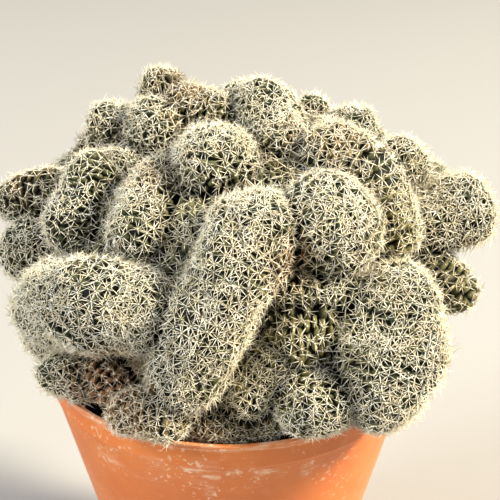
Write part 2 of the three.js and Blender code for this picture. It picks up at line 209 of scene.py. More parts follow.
FOLDS = {
    "front_left_roll": fold("front", "dense", "across",
                            (-53, -30, 132, 13), (-38, -41, 137, 13.5), (-26, -45, 137, 12)),
    "centre_crest": fold("front", "dense", "across", (8, -36, 158, 13.5), (0.8, -46, 147, 12.8),
                         (-6.8, -52, 135, 12.3), (-12, -53, 122, 11), (-14, -51, 113, 9)),
    "right_ball": fold("front", "dense", "across",
                       (49.8, -37, 132, 15.5), (48.6, -42.2, 123, 19.3), (46.3, -48, 114, 14.5)),
    "low_right": fold("front", "fine", "along", (24.5, -52, 110.5, 10), (29.3, -53, 110.5, 10)),
    "mid_right_dome": fold("right", "open", "along", (30, -28, 156.5, 16)),
    "right_arch": fold("right", "open", "across",
                       (34, 1, 168, 11), (45, -5, 162, 10.5), (50, -13, 149, 10)),
    "far_right": fold("right", "dense", "across", (50, 0, 142, 11), (64, 2, 143, 9.5), (76, 8, 147, 11.5)),
    "upper_right": fold("right", "dense", "along", (56, 19, 156, 11)),
    "right_low_knob": fold("right", "ribbed", "across", (66, -2, 131, 7.5), (73, -6, 125, 7.5)),
    "top_right_knob": fold("crown", "fine", "along", (41, 31, 167, 8.5)),
    "top_right_back": fold("crown", "fine", "along", (28, 47, 166, 7)),
    "top_middle": fold("crown", "fine", "across",
                       (4, 40, 172, 8.5), (13, 26, 174, 10.5), (18, 8, 169, 9.5)),
    "centre_top": fold("crown", "sparse", "along", (-8, 4, 164, 10), (-4, -8, 169, 13)),
    "topmost_knob": fold("crown", "fine", "along", (-23, 37, 179, 7.5)),
    "top_ridge": fold("crown", "fine", "across", (-16, 31, 175, 8), (-5, 29, 173, 8)),
    "upper_left_a": fold("crown", "fine", "across", (-43.5, 29, 162, 7), (-39, 26, 170, 8)),
    "upper_left_b": fold("crown", "fine", "along", (-26, 20, 171, 9)),
    "left_middle_arch": fold("left", "sparse", "across", (-22, -10, 161, 10), (-27, -24, 153, 10)),
    "left_middle": fold("left", "fine", "across", (-44, 2, 160, 9), (-48, -7, 149, 10)),
    "left_inner": fold("left", "fine", "along", (-35, 9, 158, 9.5)),
    "far_left_upper": fold("left", "fine", "across",
                           (-50, 10, 149, 10), (-62, 13, 150, 9), (-71, 16, 147, 7.5)),
    "far_left": fold("left", "fine", "across", (-52, 2, 136, 9), (-65, 0, 136, 10)),
    "low_left": fold("left", "fine", "across", (-54, -31, 108, 6.5), (-46, -34, 107, 6.5)),
    "corky_fold": fold("left", "studded", "along", (-36, -34, 109, 9)),
    "low_front": fold("front", "golden", "across", (-29, -54, 107, 7), (-19.5, -55.5, 107.5, 7.8)),
    "low_centre": fold("front", "golden", "across", (-8, -49.5, 101.5, 6.9), (11, -49, 102, 6.9)),
    "barrel_ridge_upper": fold("front", "ribbed", "across",
                               (20.5, -43.5, 129.5, 10), (25.5, -43.5, 129.5, 10)),
    "barrel_ridge_lower": fold("front", "golden", "along", (13, -45, 121, 9.5), (6, -47, 109, 9.5)),
    "small_ridge": fold("front", "sparse", "across", (19, -40, 140, 7), (34, -39, 139, 7)),
    "top_hollow": fold("crown", "fine", "across", (-20, 8, 157, 10), (-8, 18, 163, 10)),
    "top_right_inner": fold("crown", "open", "along", (30, 22, 161, 12)),
    "back_left_roll": fold("back_left", "dense", "across",
                           (-56, 26, 128, 12), (-45, 42, 132, 13), (-33, 50, 131, 12)),
    "back_crest": fold("back_left", "dense", "across", (-14, 48, 158, 12), (-10, 57, 146, 13),
                       (-6, 61, 132, 12.5), (-1, 58, 117, 11)),
    "back_ball": fold("back_right", "dense", "across", (34, 50, 122, 15), (31, 48, 134, 15)),
    "back_right_roll": fold("back_right", "dense", "across", (52, 38, 140, 12.5), (61, 24, 130, 13)),
    "back_low_right": fold("back_right", "ribbed", "across", (47, 38, 112, 10), (56, 20, 111, 10)),
    "back_low_middle": fold("back_right", "studded", "across", (12, 52, 110, 10), (20, 50, 110, 9.5)),
    "back_low_left": fold("back_left", "open", "across", (-24, 49, 111, 10), (-40, 40, 110, 9)),
    "back_upper_left": fold("back_left", "open", "across", (-52, 28, 147, 11), (-36, 42, 151, 12)),
    "back_upper_middle": fold("back_right", "open", "across", (8, 49, 155, 12), (22, 46, 153, 12.5)),
    "back_upper_right": fold("back_right", "open", "along", (45, 35, 154, 11)),
    "left_low": fold("left", "open", "across", (-58, 10, 112, 10), (-58, -10, 112, 10)),
    "right_low": fold("right", "open", "across", (60, 6, 113, 11), (58, -14, 112, 11)),
    "right_back": fold("right", "dense", "along", (64, 27, 146, 11)),
    "right_inner": fold("right", "open", "along", (55, -18, 132, 8)),
    "top_back": fold("back_left", "dense", "along", (-12, 41, 165, 10.5)),
}

# Patches on the flesh: centre and reach in mm, and strength
CORK_PATCHES = (
    (-37, -40, 108, 15, 1.0), (-26, -56, 107, 12, 0.6), (-2, -53, 103, 11, 0.45), (15, -46, 151, 9, 0.45),
    (36, -6, 176, 13, 0.35), (20, 6, 176, 8, 0.3), (30, 55, 106, 14, 0.5), (-46, 30, 164, 13, 0.4),
    (-14, 31, 180, 14, 0.45), (-22, -14, 168, 9, 0.4), (-34, -46, 124, 9, 0.5), (-66, 12, 154, 12, 0.35),
    (21, -42, 155, 7, 0.35),
)
YELLOW_PATCHES = (
    (53, -20, 152, 13, 0.4), (4, -56, 136, 10, 0.3), (10, -52, 118, 14, 0.5), (24, -47, 130, 12, 0.5),
    (6, -54, 106, 14, 0.5), (-24, -58, 108, 10, 0.4),
)
# Patches where the coat is thin and the tubercles stand higher
THIN_PATCHES = (
    (14, -46, 154, 9, 0.6), (-10, -63, 122, 7, 0.5), (0, -20, 168, 9, 0.6), (-18, -22, 161, 7, 0.7),
    (-46, -3, 168, 9, 0.7), (-44, -16, 153, 7, 0.5), (42, -12, 170, 10, 0.5), (55, -22, 151, 8, 0.5),
    (21, -41, 156, 8, 0.7), (-14, 24, 176, 9, 0.6), (11, 1, 172, 8, 0.6), (-65, 7, 155, 8, 0.5),
    (-35, -36, 114, 9, 0.5), (70, -13, 129, 9, 0.3), (28, -46, 139, 11, 0.45), (-10, -20, 166, 8, 0.6),
    (-72, 10, 150, 9, 0.4),
)
# Pale scuffs on the pot: middle, half width and half height in mm, and strength
SCUFFS = (
    ((-9.6, -58.3, 89.3), 5.2, 1.5, 1.0), ((-4.7, -58.2, 86.7), 3.4, 1.7, 0.9),
    ((1.6, -58.9, 88.7), 3.4, 1.4, 0.8), ((11.4, -57.8, 88.3), 5.5, 1.4, 0.75),
    ((24.5, -52.5, 86.5), 3.4, 4.6, 0.45), ((-23.5, -54.2, 91), 5.5, 3, 0.45),
    ((-5.5, -56.6, 80), 2.6, 4.5, 0.45), ((-38, -44, 84), 7, 2, 0.4), ((30, 50, 89), 6, 1.6, 0.8),
    ((-55, 21, 88), 5, 1.5, 0.8), ((-20, 52, 80), 3, 5, 0.5), ((55, 15, 84), 6, 1.6, 0.7),
)
GROUPS = ("front", "left", "right", "crown", "back_left", "back_right")


# Numbers in space


def unit(vectors):
    """Vectors scaled to length one."""
    return vectors / np.maximum(np.linalg.norm(vectors, axis=-1, keepdims=True), 1e-12)


def dot(first, second):
    """Dot products along the last axis, kept as a column."""
    return (first * second).sum(-1, keepdims=True)


def turns(count):
    """Angles that go round a full circle in equal steps."""
    return np.arange(count) / count * 2 * math.pi


def swell(places):
    """Slow bulges of the skin: three crossed sine waves, 15 to 19 mm long, added together."""
    x, y, z = (places / MM).T
    waves = (np.sin(0.31 * x + 0.11 * y + 1.0) + np.sin(0.29 * y - 0.17 * z)
             + np.sin(0.33 * z + 0.21 * x - 0.13 * y))
    return SWELL * waves[:, None]


def lattice_noise(places, size, seed):
    """Smooth noise from -1 to 1: random values at the corners of cubes of one size, blended by
    3u^2 - 2u^3 along each axis. The values come from sines of the corner numbers."""
    scaled = places / size
    base = np.floor(scaled)
    share = scaled - base
    share = share * share * (3 - 2 * share)
    total = np.zeros(len(places))
    for corner in np.ndindex(2, 2, 2):
        weight = np.prod(np.where(corner, share, 1 - share), axis=1)
        key = (base + corner) @ np.array([12.9898, 78.233, 37.719]) + seed
        value = np.sin(key) * 43758.5453
        total += weight * (2 * (value - np.floor(value)) - 1)
    return total


def patched(places, patches):
    """How strongly places take part in patches: each patch's strength times exp(-(d / reach)^2)."""
    total = np.zeros(len(places))
    for *centre, reach, strength in patches:
        distance = np.linalg.norm(places / MM - centre, axis=1)
        total += strength * np.exp(-((distance / reach) ** 2))
    return np.clip(total, 0, 1)


def smooth_run(knots, stations):
    """Points on a uniform Catmull-Rom curve through the knots. In a span from b to c, with a
    before and d after, a share u is half of 2b + (c - a)u + (2a - 5b + 4c - d)u^2
    + (3b - a - 3c + d)u^3."""
    padded = np.vstack([2 * knots[0] - knots[1], knots, 2 * knots[-1] - knots[-2]])
    span = np.minimum(stations.astype(int), len(knots) - 2)
    u = (stations - span)[:, None]
    a, b, c, d = (padded[span + step] for step in range(4))
    square = (2 * a - 5 * b + 4 * c - d) * u**2
    cube = (3 * b - a - 3 * c + d) * u**3
    return 0.5 * (2 * b + (c - a) * u + square + cube)


class FoldSurface:
    """A fold as a surface of two parameters: distance along its run and turn round it."""

    STEPS_PER_SPAN = 8
    BALL_HALF_RUN = 0.5 * MM
    # A run whose way has more than this cosine with the way out of the plant leads outwards
    LEADS_OUT = 0.8

    def __init__(self, facts):
        """Stations along the fold's run with their radii, tangents and front ways. A lone section
        becomes a short run, and each end goes a quarter turn of its radius past the run."""
        knots = np.array(facts["points"], float) * MM
        outward = self.guide = unit(knots[:, :3].mean(0) - CORE_CENTRE)
        self.ball = len(knots) == 1
        if self.ball:
            shift = np.append(self.BALL_HALF_RUN * outward, 0)
            knots = np.vstack([knots[0] - shift, knots[0] + shift])
        spans = len(knots) - 1
        run = smooth_run(knots, np.linspace(0, spans, self.STEPS_PER_SPAN * spans + 1))
        self.centre = run[:, :3]
        self.radius = run[:, 3]
        steps = np.linalg.norm(np.diff(self.centre, axis=0), axis=1)
        self.reach = np.append(0, np.cumsum(steps))
        self.tangent = unit(np.gradient(self.centre, axis=0))
        leads_out = abs(float(outward @ unit(self.centre[-1] - self.centre[0]))) > self.LEADS_OUT
        guide = UP if leads_out else outward
        self.front = unit(guide - dot(self.tangent, guide) * self.tangent)
        self.length = self.reach[-1]
        self.start = -0.5 * math.pi * self.radius[0]
        self.end = self.length + 0.5 * math.pi * self.radius[-1]
        self.facts = facts

    def sample(self, rows, inside):
        """A column or rows of values along the run, read between its stations."""
        if rows.ndim == 1:
            return np.interp(inside, self.reach, rows)
        return np.stack([np.interp(inside, self.reach, column) for column in rows.T], -1)

    def ring_radius(self, distance):
        """Radius of the ring at a distance: the fold's own, times the cosine of the angle into an
        end."""
        inside = np.clip(distance, 0, self.length)
        radius = self.sample(self.radius, inside)
        return radius * np.cos((distance - inside) / radius)

    def at(self, distance, turn):
        """Place and directions outward, along and around. The place is the run's centre plus the
        radius along a spoke; past each end the spoke leans towards the run by the angle
        that the extra distance makes, which gives a half-round end."""
        inside = np.clip(distance, 0, self.length)
        radius = self.sample(self.radius, inside)[:, None]
        tangent = unit(self.sample(self.tangent, inside))
        front = unit(self.sample(self.front, inside))
        side = np.cross(tangent, front)
        lean = ((distance - inside) / radius[:, 0])[:, None]
        turn = turn[:, None]
        spoke = np.cos(turn) * front + np.sin(turn) * side
        around = np.cos(turn) * side - np.sin(turn) * front
        outward = np.cos(lean) * spoke + np.sin(lean) * tangent
        along = np.cos(lean) * tangent - np.sin(lean) * spoke
        place = self.sample(self.centre, inside) + radius * outward
        return place + swell(place) * outward, outward, along, around

    def clearance(self, places):
        """How far places stand out of the fold, as the least distance to its sections' balls."""
        balls = zip(self.centre[::2], self.radius[::2])
        gaps = [np.linalg.norm(places - centre, axis=1) - radius for centre, radius in balls]
        return np.min(gaps, axis=0)


SURFACES = {name: FoldSurface(facts) for name, facts in FOLDS.items()}


def core_half(offsets):
    """The core's half sizes on each side of its middle plane."""
    half = np.tile(CORE_HALF, (len(offsets), 1))
    half[offsets[:, 2] < 0, 2] = CORE_HALF_BELOW
    return half


def on_core(ball):
    """Places on the core, which are a ball's points stretched to the core's half sizes, and the
    ways out there, which are the ball's points over those sizes."""
    half = core_half(ball)
    return CORE_CENTRE + ball * half, unit(ball / half)


def core_clearance(places):
    """How far places stand out of the core: the ellipsoid's measure less one, over its slope."""
    offset = places - CORE_CENTRE
    half = core_half(offset)
    scaled = offset / half
    measure = np.maximum(np.linalg.norm(scaled, axis=1), 1e-6)
    slope = np.linalg.norm(scaled / half, axis=1) / measure
    return (measure - 1) / slope


def clearance_of_others(places, own):
    """How far places stand out of the core and of every fold, but for the one that is their own."""
    gaps = [surface.clearance(places) for name, surface in SURFACES.items() if name != own]
    if own != "core":
        gaps.append(core_clearance(places))
    return np.min(gaps, axis=0)


def wall_radius(height):
    """Outer radius of the pot's wall at a height."""
    return BASE_RADIUS + TAPER * height


def clear_of_pot(places, margin):
    """True for places above the soil, and above the rim where they lie out at the wall."""
    inner = RIM_RADIUS - LIP_STEP - WALL - margin
    reach = np.hypot(places[:, 0], places[:, 1])
    above = places[:, 2] - margin
    inside_pot = (reach < inner) & (above > SOIL_HIGH.z)
    outside_pot = (reach > RIM_RADIUS + margin) | (above > POT_HEIGHT)
    return inside_pot | outside_pot


# Areoles: where the tubercles, felt and spines stand


def joined(sets):
    """Areole sets put one after another."""
    return {key: np.concatenate([one[key] for one in sets]) for key in sets[0]}


def chosen(areoles, keep):
    """The areoles or spines that a mask keeps."""
    return {key: values[keep] for key, values in areoles.items()}


def areole_set(place, outward, long_way, coat, flank, clearance):
    """Areoles with their coat's numbers. A slow noise thins the coat here and there, and so does the
    flank, which goes from 0 on a fold's outer line to 1 on its inner one. Painted crease shade goes
    from 1 where folds meet to 0 at its reach from there, as the square of the share that is left."""
    ones = np.ones(len(place))
    thin = patched(place, THIN_PATCHES)
    open_air = np.clip(clearance / CREASE_SHADE_REACH, 0, 1)
    spines = coat["spines"] - 0.25 * flank - 0.35 * thin + 0.1 * lattice_noise(place, 16 * MM, 5)
    length = 1 - 0.15 * thin + 0.08 * lattice_noise(place, 12 * MM, 6)
    olive = coat["olive"] + 0.7 * flank + 0.6 * thin + 0.35 * lattice_noise(place, 14 * MM, 7)
    return {
        "place": place,
        "outward": outward,
        "long_way": long_way,
        "spines": np.clip(spines, 0.25, 1),
        "length": coat["length"] * length,
        "height": coat["height"] * (1 + 0.3 * thin),
        "olive": np.clip(olive, 0, 1),
        # Painted shade: spines, felt and flesh darken where folds meet
        "crease_shade": (1 - open_air) ** 2,
        "cork": patched(place, CORK_PATCHES),
        "yellow": patched(place, YELLOW_PATCHES),
        **{field: coat[field] * ones for field in ("thickness", "felt", "long_step", "short_step")},
    }


def fold_areoles(name, random):
    """Areoles of one fold. Rows lie evenly along it, each row has as many areoles as its ring
    takes. Where tubercles lie across the fold, every second row is shifted by half a step;
    where they lie along it, they line up as ribs. Those that another fold covers, or
    that would touch the pot, are left off."""
    surface = SURFACES[name]
    facts = surface.facts
    coat = facts["coat"]
    across = facts["lie"] == "across"
    steps = coat["short_step"], coat["long_step"]
    row_step, ring_step = steps if across else steps[::-1]
    rows = max(2, round((surface.end - surface.start) / row_step))
    row_distance = surface.start + (np.arange(rows) + 0.5) / rows * (surface.end - surface.start)
    ring = 2 * math.pi * surface.ring_radius(row_distance)
    count = np.maximum(1, np.round(ring / ring_step)).astype(int)
    row = np.repeat(np.arange(rows), count)
    place_in_row = np.arange(len(row)) - np.repeat(np.cumsum(count) - count, count)
    loose = random.uniform(-AREOLE_STRAY, AREOLE_STRAY, (2, len(row)))
    distance = row_distance[row] + loose[0] * row_step
    shift = 0.5 * (row % 2) if across else 0.0
    turn = (place_in_row + shift + loose[1]) / count[row] * 2 * math.pi
    place, outward, along, around = surface.at(distance, turn)
    if across:
        long_way = around * -np.sign(np.sin(turn))[:, None]
    elif surface.ball:
        long_way = along
    else:
        long_way = along * np.where(along[:, 2:] < 0, -1, 1)
    clearance = clearance_of_others(place, name)
    keep = (clearance > AREOLE_GAP) & clear_of_pot(place, AREOLE_GAP)
    flank = 0.5 - 0.5 * (outward @ surface.guide)
    return chosen(areole_set(place, outward, long_way, coat, flank, clearance), keep)


def core_areoles(random):
    """Areoles of the core on a spiral of golden-angle turns: equal steps in height on a ball that
    is then stretched to the core."""
    coat = COATS["heart"]
    count = int(4 * math.pi * CORE_HALF[0] * CORE_HALF[2] / (coat["long_step"] * coat["short_step"]))
    index = np.arange(count)
    height = 1 - 2 * (index + 0.5) / count
    turn = index * GOLDEN_ANGLE
    ring = np.sqrt(1 - height**2)
    ball = np.stack([ring * np.cos(turn), ring * np.sin(turn), height], -1)
    ball = unit(ball + random.normal(0, CORE_STRAY, ball.shape))
    place, outward = on_core(ball)
    place = place + CORE_SWELL * swell(place) * outward
    long_way = np.cross(outward, unit(np.cross(UP, outward)))
    clearance = clearance_of_others(place, "core")
    keep = (clearance > CORE_AREOLE_GAP) & clear_of_pot(place, AREOLE_GAP)
    flank = np.full(count, 0.5)
    return chosen(areole_set(place, outward, long_way, coat, flank, clearance), keep)


def areole_axes(areoles):
    """Each areole's three directions: the long way, the wide way and outward."""
    wide_way = np.cross(areoles["outward"], areoles["long_way"])
    return np.stack([areoles["long_way"], wide_way, areoles["outward"]], 1)


# Meshes


def put_in_mesh(name, vertices, triangles, fields=None, material_of_face=None, smooth=True):
    """A mesh object from whole arrays, with one float attribute for each named field."""
    mesh = bpy.data.meshes.new(name)
    mesh.vertices.add(len(vertices))
    mesh.vertices.foreach_set("co", np.ascontiguousarray(vertices, np.float32).ravel())
    mesh.loops.add(3 * len(triangles))
    mesh.loops.foreach_set("vertex_index", np.ascontiguousarray(triangles, np.int32).ravel())
    mesh.polygons.add(len(triangles))
    mesh.polygons.foreach_set("loop_start", np.arange(0, 3 * len(triangles), 3, dtype=np.int32))
    if material_of_face is not None:
        mesh.polygons.foreach_set("material_index", np.ascontiguousarray(material_of_face, np.int32))
    for field, values in (fields or {}).items():
        attribute = mesh.attributes.new(field, "FLOAT", "POINT")
        attribute.data.foreach_set("value", np.ascontiguousarray(values, np.float32))
    mesh.update(calc_edges=True)
    mesh.validate()
    if smooth:
        mesh.shade_smooth()
    else:
        mesh.shade_flat()
    piece = bpy.data.objects.new(name, mesh)
    bpy.context.scene.collection.objects.link(piece)
    return piece


def grid_triangles(rows, columns):
    """Triangles of a grid that closes on itself along its columns, two for each cell."""
    row = np.arange(rows - 1)[:, None]
    column = np.arange(columns)[None, :]
    here = row * columns + column
    beside = row * columns + (column + 1) % columns
    corners = np.stack([here, beside, beside + columns, here + columns], -1).reshape(-1, 4)
    return np.concatenate([corners[:, [0, 1, 2]], corners[:, [0, 2, 3]]])


def closed_grid(rings, first_pole, last_pole):
    """Vertices and triangles of rings of points that a pole closes at each end."""
    rows, columns = rings.shape[:2]
    column = np.arange(columns)
    beside = (column + 1) % columns
    last = (rows - 1) * columns
    poles = rows * columns
    first_fan = np.stack([np.full(columns, poles), beside, column], -1)
    last_fan = np.stack([np.full(columns, poles + 1), last + column, last + beside], -1)
    vertices = np.concatenate([rings.reshape(-1, 3), [first_pole], [last_pole]])
    return vertices, np.concatenate([grid_triangles(rows, columns), first_fan, last_fan])


def gathered(parts):
    """Several vertex and triangle arrays as one pair."""
    starts = np.cumsum([0] + [len(vertices) for vertices, _ in parts])
    vertices = np.concatenate([vertices for vertices, _ in parts])
    triangles = np.concatenate([faces + start for (_, faces), start in zip(parts, starts)])
    return vertices, triangles


def repeated(faces, count, points):
    """A shape's triangles once for each of its copies, which have that many points each."""
    return (faces[None] + (np.arange(count) * points)[:, None, None]).reshape(-1, 3)


def stamped(shape, places, axes, sizes):
    """A small shape set down at many places: each of its points is the place plus the point's
    three numbers times that place's sizes and directions."""
    points, faces = shape
    scaled = points[None, :, :] * sizes[:, None, :]
    vertices = places[:, None, :] + np.einsum("nvk,nkc->nvc", scaled, axes)
    return vertices.reshape(-1, 3), repeated(faces, len(places), len(points))


def hump_shape(sides):
    """A tubercle: a foot ring (cos a, sin a, -0.4), a shoulder ring (0.7 cos a + 0.2, 0.68 sin a,
    0.72) and a top that lies to one side, so that it leans along its length."""
    angle = turns(sides)
    foot = np.stack([np.cos(angle), np.sin(angle), np.full(sides, -0.4)], -1)
    shoulder = np.stack([0.7 * np.cos(angle) + 0.2, 0.68 * np.sin(angle), np.full(sides, 0.72)], -1)
    return closed_grid(np.array([foot, shoulder]), (0, 0, -0.4), HUMP_TOP)


def tuft_shape():
    """A tuft of felt: a four-sided double cone, flatter below than above."""
    angle = turns(4)
    ring = np.stack([np.cos(angle), np.sin(angle), np.zeros(4)], -1)
    return closed_grid(ring[None], (0, 0, -0.8), (0, 0, 1))


def fold_skin(surface, cell):
    """The smooth skin of one fold: the fold's surface less the grooves' depth, on a grid of equal
    distances and turns whose cells have about one size."""
    rows = max(6, round((surface.end - surface.start) / cell))
    columns = max(10, round(2 * math.pi * surface.radius.max() / cell))
    share = (np.arange(rows) + 0.5) / rows
    distance = surface.start + share * (surface.end - surface.start)
    grids = np.meshgrid(distance, turns(columns), indexing="ij")
    every_distance, every_turn = (grid.ravel() for grid in grids)
    place, outward, _, _ = surface.at(every_distance, every_turn)
    rings = (place - GROOVE_DEPTH * outward).reshape(rows, columns, 3)
    ends = np.array([surface.start, surface.end])
    pole, pole_outward, _, _ = surface.at(ends, np.zeros(2))
    poles = pole - GROOVE_DEPTH * pole_outward
    return closed_grid(rings, poles[0], poles[1])


def core_skin(cell):
    """The core's skin: rings of a ball stretched to the core's half sizes, then swelled."""
    rows = round(math.pi * CORE_HALF[0] / cell)
    columns = round(2 * math.pi * CORE_HALF[0] / cell)
    polar = (np.arange(rows + 1) / rows) * math.pi
    turn = turns(columns)
    ring = np.sin(polar)[:, None]
    ball = np.stack([
        ring * np.cos(turn), ring * np.sin(turn), np.tile(np.cos(polar)[:, None], (1, columns)),
    ], -1).reshape(-1, 3)
    place, outward = on_core(ball)
    place = place + (CORE_SWELL * swell(place) - GROOVE_DEPTH) * outward
    rings = place.reshape(rows + 1, columns, 3)
    vertices, triangles = closed_grid(rings[1:-1], rings[0, 0], rings[-1, 0])
    return vertices, triangles[:, ::-1]


def turned(profile, sides):
    """A surface of revolution about +Z. The profile's radius and height go round in equal turns,
    and its first and last points lie on the axis and become poles."""
    turn = turns(sides)
    radius, height = profile[1:-1].T[:, :, None]
    rings = np.stack([radius * np.cos(turn), radius * np.sin(turn), np.tile(height, (1, sides))], -1)
    return closed_grid(rings, (0, 0, profile[0, 1]), (0, 0, profile[-1, 1]))


def rounded(profile, radius, steps=4):
    """A profile with its corners rounded: each corner c between cut points a and b becomes
    (1 - t)^2 a + 2t(1 - t)c + t^2 b, with the cuts a radius away or 0.4 of the edge."""
    points = [profile[:1]]
    t = np.linspace(0, 1, steps)[:, None]
    for before, corner, after in zip(profile[:-2], profile[1:-1], profile[2:]):
        back, ahead = before - corner, after - corner
        cut_back = min(radius, 0.4 * np.linalg.norm(back)) * unit(back)
        cut_ahead = min(radius, 0.4 * np.linalg.norm(ahead)) * unit(ahead)
        a, b = corner + cut_back, corner + cut_ahead
        points.append((1 - t) ** 2 * a + 2 * t * (1 - t) * corner + t**2 * b)
    points.append(profile[-1:])
    return np.concatenate(points)


# Spines


def needles(roots, ways, side_ways, widths, lengths):
    """Slim spindles. Each has a point at its root, one at its tip, which is the root plus its way
    times its length, and between them, where it is widest, three points that stand off by its
    width at thirds of a turn."""
    third = turns(3)
    other_ways = np.cross(ways, side_ways)
    spokes = (np.cos(third)[None, :, None] * side_ways[:, None, :]
              + np.sin(third)[None, :, None] * other_ways[:, None, :]) * widths[:, None, None]
    belly = roots + WIDEST * lengths[:, None] * ways
    tips = roots + lengths[:, None] * ways
    vertices = np.concatenate([roots[:, None], belly[:, None] + spokes, tips[:, None]], 1)
    faces = np.array([[0, 2, 1], [0, 3, 2], [0, 1, 3], [1, 2, 4], [2, 3, 4], [3, 1, 4]])
    return vertices.reshape(-1, 3), repeated(faces, len(roots), NEEDLE_POINTS)


def spine_facts(areoles, settings, random):
    """Root, way, length and width of every spine. At each areole most spines spread low in a
    wheel and a few stand up in the middle, and a thin coat keeps only a share of them. A way is
    cos(rise) times its direction in the wheel plus sin(rise) times the wheel's axis."""
    count = len(areoles["place"])
    wheel, middle = settings.wheel_count, settings.middle_count
    total = wheel + middle
    turn = (np.arange(total)[None, :] / wheel + random.uniform(0, 1, (count, 1))) * 2 * math.pi
    turn = turn + random.normal(0, TURN_SPREAD, (count, total))
    standing = np.arange(total)[None, :] >= wheel
    low, high = math.radians(settings.wheel_rise_low), math.radians(settings.wheel_rise_high)
    rise = random.uniform(low, high, (count, total))
    rise = np.where(standing, random.uniform(*STANDING_RISE, (count, total)), rise)
    length = settings.length * random.normal(1, LENGTH_SPREAD, (count, total)).clip(0.5, 1.6)
    length = length * np.where(standing, STANDING_LENGTH, 1) * areoles["length"][:, None]
    keep = random.uniform(0, 1, (count, total)) < areoles["spines"][:, None]
    axis = unit(areoles["outward"] + settings.tilt * random.normal(0, 1, (count, 3)))
    long_way = unit(areoles["long_way"] - dot(areoles["long_way"], axis) * axis)
    wide_way = np.cross(axis, long_way)
    turn = turn[..., None]
    spread = np.cos(turn) * long_way[:, None, :] + np.sin(turn) * wide_way[:, None, :]
    way = np.cos(rise)[..., None] * spread + np.sin(rise)[..., None] * axis[:, None, :]
    root = areoles["felt_place"][:, None, :] + ROOT_OUT * spread
    tone = random.uniform(0, 1, (count, 1)) * 0.5 + random.uniform(0, 1, (count, total)) * 0.5
    thickness = random.normal(settings.thickness, THICKNESS_SPREAD * settings.thickness, tone.shape)
    width = areoles["thickness"][:, None] * thickness
    cork, crease_shade = (np.repeat(areoles[field][:, None], total, 1) for field in ("cork", "crease_shade"))
    flat = {
        "root": root.reshape(-1, 3),
        "way": way.reshape(-1, 3),
        "length": length.ravel(),
        "width": width.ravel(),
        "tone": tone.ravel(),
        "cork": cork.ravel(),
        "crease_shade": crease_shade.ravel(),
    }
    return chosen(flat, keep.ravel())


def share_in_box(roots, reaches):
    """The share of each reach, from 0.3 to 1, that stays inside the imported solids' box grown by
    its margin: the least over the axes of the way to the box's side over the reach."""
    low, high = (np.array(corner) for corner in CAD_BOX)
    grown = BOX_MARGIN * (high - low)
    limit = np.where(reaches > 0, high + grown, low - grown)
    share = (limit - roots) / np.where(np.abs(reaches) < 1e-9, 1e-9, reaches)
    return np.clip(share.min(axis=1), 0.3, 1)


def grow_spines(name, areoles, own, settings, random):
    """The spines and felt of a set of areoles as one piece. Spines whose tips would end deep in
    flesh, or whose middle or tip would touch the pot or the soil, are left off."""
    facts = spine_facts(areoles, settings, random)
    reaches = facts["way"] * facts["length"][:, None]
    facts["length"] = facts["length"] * share_in_box(facts["root"], reaches)
    tips = facts["root"] + facts["way"] * facts["length"][:, None]
    middles = 0.5 * (tips + facts["root"])
    free = clearance_of_others(tips, own) > -TIP_SINK
    free &= clear_of_pot(tips, SPINE_GAP) & clear_of_pot(middles, SPINE_GAP)
    facts = chosen(facts, free)
    count = len(facts["root"])
    side_ways = unit(np.cross(facts["way"], random.normal(0, 1, (count, 3))))
    spines = needles(facts["root"], facts["way"], side_ways, facts["width"], facts["length"])
    tufts = len(areoles["place"])
    tuft = tuft_shape()
    tuft_points = len(tuft[0])
    felt_size = settings.felt_size * areoles["felt"][:, None]
    felt_size = felt_size * random.normal(1, 0.15, (tufts, 1)).clip(0.6, 1.5)
    felt_sizes = felt_size * np.array([1, 0.9, 1.1])
    felt = stamped(tuft, areoles["felt_place"], areole_axes(areoles), felt_sizes)
    vertices, triangles = gathered([spines, felt])
    reach = np.tile([0, WIDEST, WIDEST, WIDEST, 1], count)
    fields = {"reach": np.concatenate([reach, np.zeros(len(felt[0]))])}
    felt_facts = {**areoles, "tone": random.uniform(0, 1, tufts)}
    for field in ("tone", "cork", "crease_shade"):
        on_spines = np.repeat(facts[field], NEEDLE_POINTS)
        fields[field] = np.concatenate([on_spines, np.repeat(felt_facts[field], tuft_points)])
    material_of_face = np.zeros(len(triangles), int)
    material_of_face[len(spines[1]):] = 1
    return put_in_mesh(name, vertices, triangles, fields, material_of_face, smooth=False)


def grow_flesh(name, skins, areoles, random):
    """The skin and tubercles of a set of folds as one piece, and each areole's place on top of
    its tubercle, added to the set."""
    count = len(areoles["place"])
    size = random.normal(1, 0.1, (count, 1)).clip(0.75, 1.3)
    sizes = size * np.stack([
        HUMP_LENGTH * areoles["long_step"], HUMP_WIDTH * areoles["short_step"], areoles["height"],
    ], -1)
    foot = areoles["place"] - GROOVE_DEPTH * areoles["outward"]
    shape = hump_shape(HUMP_SIDES)
    humps = stamped(shape, foot, areole_axes(areoles), sizes)
    seat = foot + FELT_SEAT * sizes[:, 2:] * areoles["outward"]
    areoles["felt_place"] = seat + HUMP_TOP[0] * sizes[:, :1] * areoles["long_way"]
    skin = gathered(skins)
    vertices, triangles = gathered([skin, humps])
    rise = np.clip(shape[0][:, 2], 0, 1)
    points = len(shape[0])
    on_skin = np.zeros(len(skin[0]))
    tone = np.repeat(random.uniform(0, 1, count), points)
    fields = {
        "rise": np.concatenate([on_skin, np.tile(rise, count)]),
        "tone": np.concatenate([on_skin + 0.5, tone]),
    }
    for field in ("olive", "cork", "yellow", "crease_shade"):
        fields[field] = np.concatenate([on_skin, np.repeat(areoles[field], points)])
    return put_in_mesh(name, vertices, triangles, fields)


# Materials


